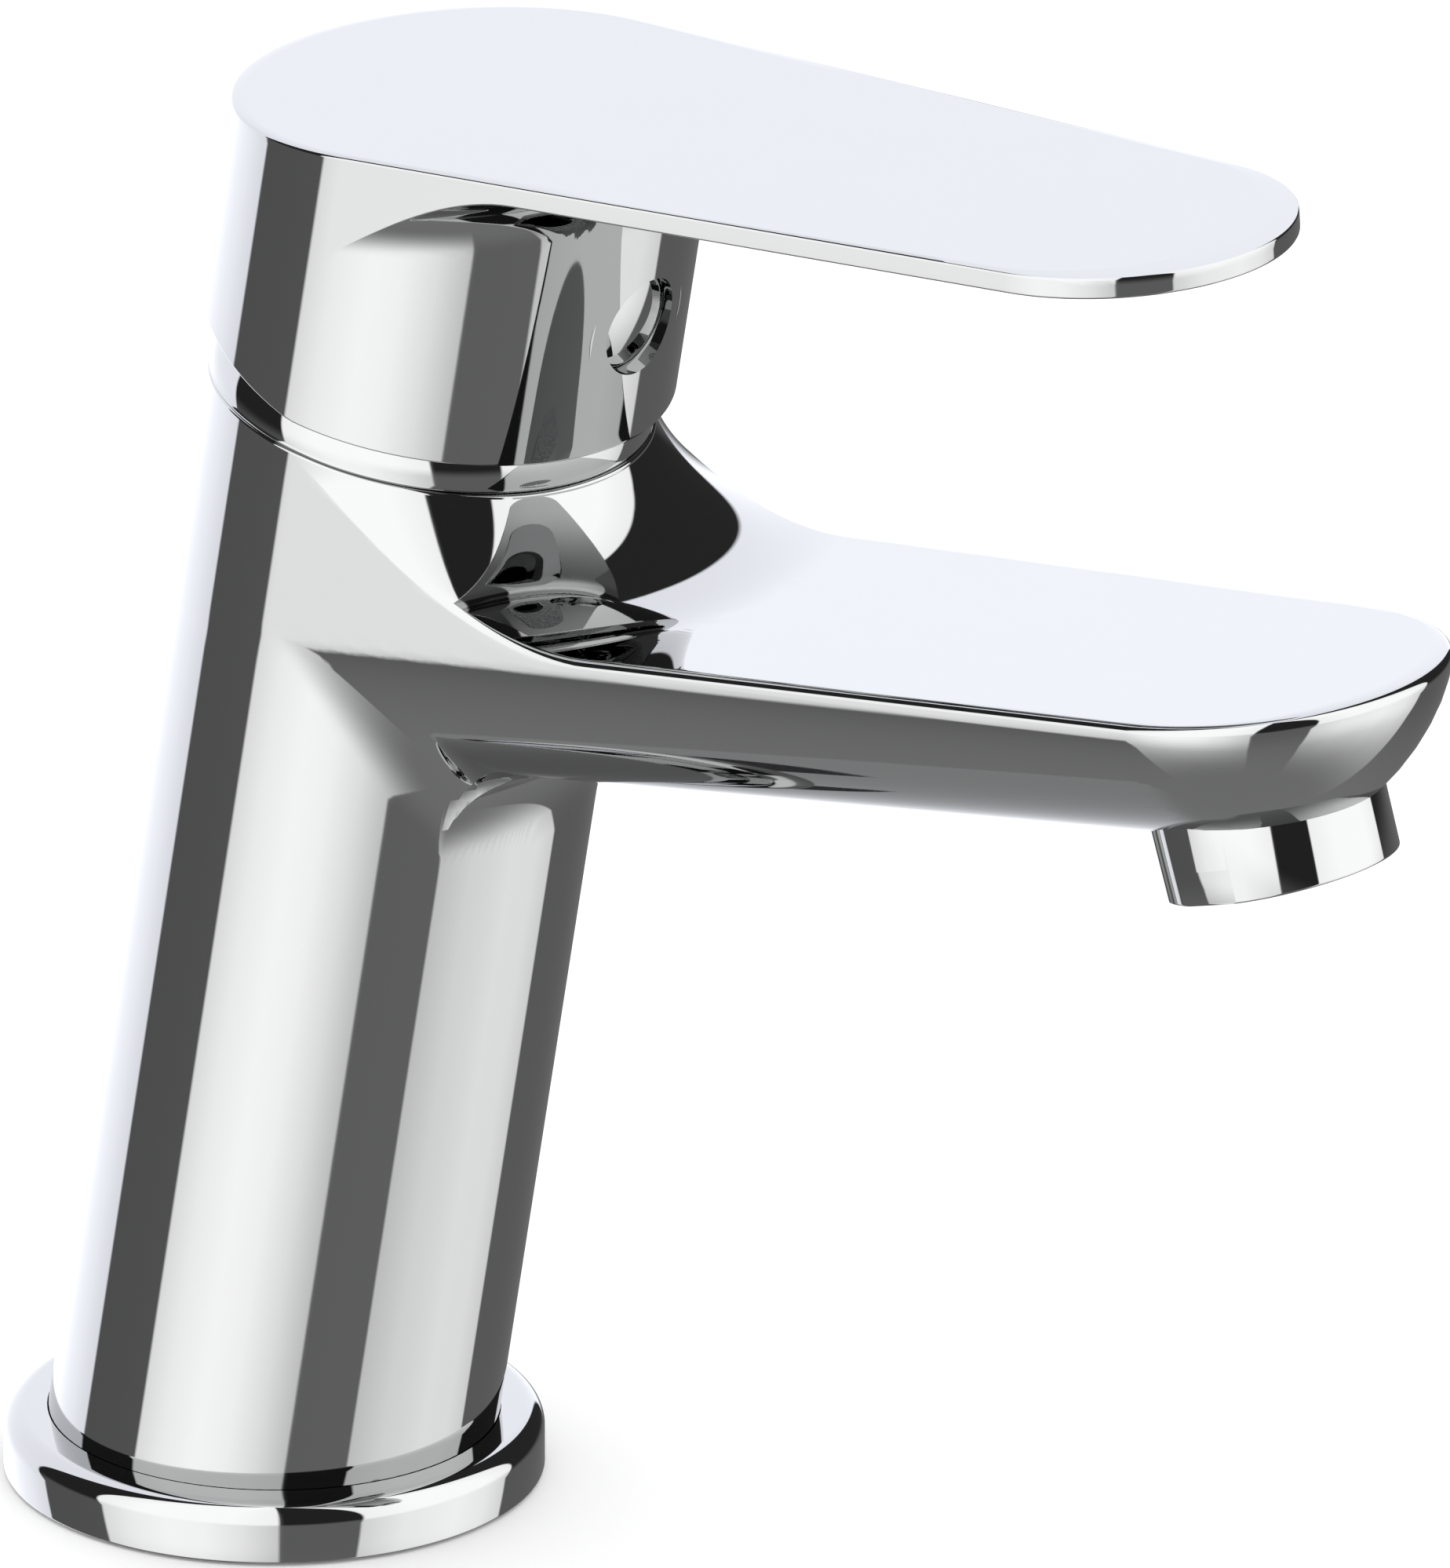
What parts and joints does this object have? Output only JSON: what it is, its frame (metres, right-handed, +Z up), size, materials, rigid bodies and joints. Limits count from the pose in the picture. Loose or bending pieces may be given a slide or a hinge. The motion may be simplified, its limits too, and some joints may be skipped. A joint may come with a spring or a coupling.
{
  "type": "bathroom mixer faucet",
  "caption": "Single-lever basin mixer with a leaning round body, a flat-topped spout with aerator, a teardrop lever, a ceramic-disc cartridge and a stud fixing kit.",
  "frame": {"origin": "centre of the base gasket's underside, on the deck the mixer stands on", "axes": "+Z up from the deck, +X forward along the spout, +Y to the right of a user who faces the mixer"},
  "size_m": [0.1701, 0.0544, 0.2232],
  "materials": {
    "chrome": "polished chrome plate",
    "brass": "turned brass",
    "steel": "zinc-plated or stainless steel",
    "dark_steel": "blackened steel",
    "white_plastic": "moulded acetal",
    "grey_plastic": "moulded acetal",
    "blue_plastic": "moulded acetal",
    "ceramic": "lapped alumina",
    "rubber": "moulded rubber"
  },
  "bodies": {
    "root": {"base_ring": "chrome", "base_gasket": "rubber", "faucet_body": "chrome", "collar": "chrome", "cartridge_nut": "brass", "cartridge_housing": "white_plastic", "cartridge_base": "grey_plastic", "inlet_seals": "rubber", "housing_seal": "rubber", "port_seals": "rubber", "fixed_disc": "ceramic", "aerator_housing": "chrome", "aerator_insert": "grey_plastic", "aerator_diffuser": "white_plastic", "aerator_screen": "steel", "aerator_washer": "rubber", "mounting_stud": "steel", "rubber_washer": "rubber", "clamp_plate": "steel", "mounting_nut": "brass"},
    "turning_rotor": {"rotor": "white_plastic", "rotor_seal": "rubber", "pivot_pin": "steel"},
    "lever": {"stem": "steel", "handle": "chrome", "grub_screw": "dark_steel", "index_plug": "chrome"},
    "sliding_disc": {"disc_carrier": "blue_plastic", "moving_disc": "ceramic"}
  },
  "joints": [
    {"name": "temperature", "type": "hinge", "parent": "root", "child": "turning_rotor", "pos_m": [0.01834, 0, 0.1104], "axis": [0.1736, 0, 0.9848], "range_deg": [-50, 50]},
    {"name": "flow", "type": "hinge", "parent": "turning_rotor", "child": "lever", "pos_m": [0.01834, 0, 0.1104], "axis": [0, -1, 0], "range_deg": [0, 25]},
    {"name": "disc_slide", "type": "slide", "parent": "turning_rotor", "child": "sliding_disc", "axis": [0.9848, 0, -0.1736], "range_m": [0, 0.0038]}
  ],
  "couplings": [
    {"joint": "disc_slide", "follows": "flow", "m_per_rad": 0.0085}
  ]
}
